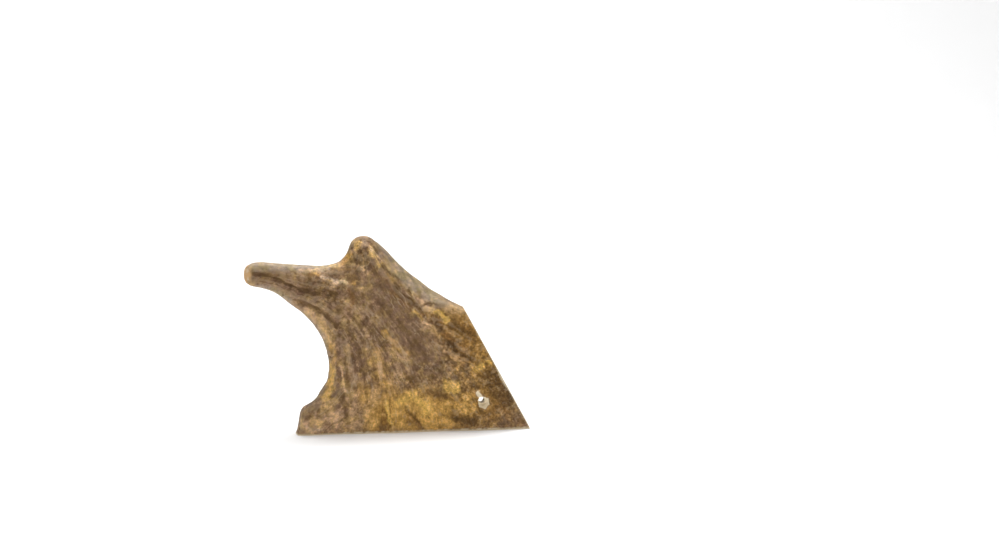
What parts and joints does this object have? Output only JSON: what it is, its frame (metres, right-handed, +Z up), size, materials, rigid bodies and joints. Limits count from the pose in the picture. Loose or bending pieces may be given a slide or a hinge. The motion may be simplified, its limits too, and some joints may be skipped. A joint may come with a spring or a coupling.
{
  "type": "deer antler piece",
  "caption": "Sawn piece of flat deer antler with a palm, a long side tine and a short tine, standing on its lower saw cut.",
  "frame": {"origin": "on the lower saw cut, under the middle of the whole piece's box", "axes": "+Z up from the lower saw cut, +X along the palm away from the long tine, -Y out of the front face that the picture shows"},
  "size_m": [0.115, 0.0192, 0.0786],
  "materials": {
    "palm_bark": "weathered brown antler bark, satin, with pale sawn bone at the cuts",
    "long_tine_bark": "worn greyish brown antler bark with a rubbed pale tip",
    "short_tine_bark": "ochre and brown antler bark with small pearls"
  },
  "bodies": {
    "root": {"palm": "palm_bark", "long_tine": "long_tine_bark", "short_tine": "short_tine_bark"}
  },
  "joints": []
}
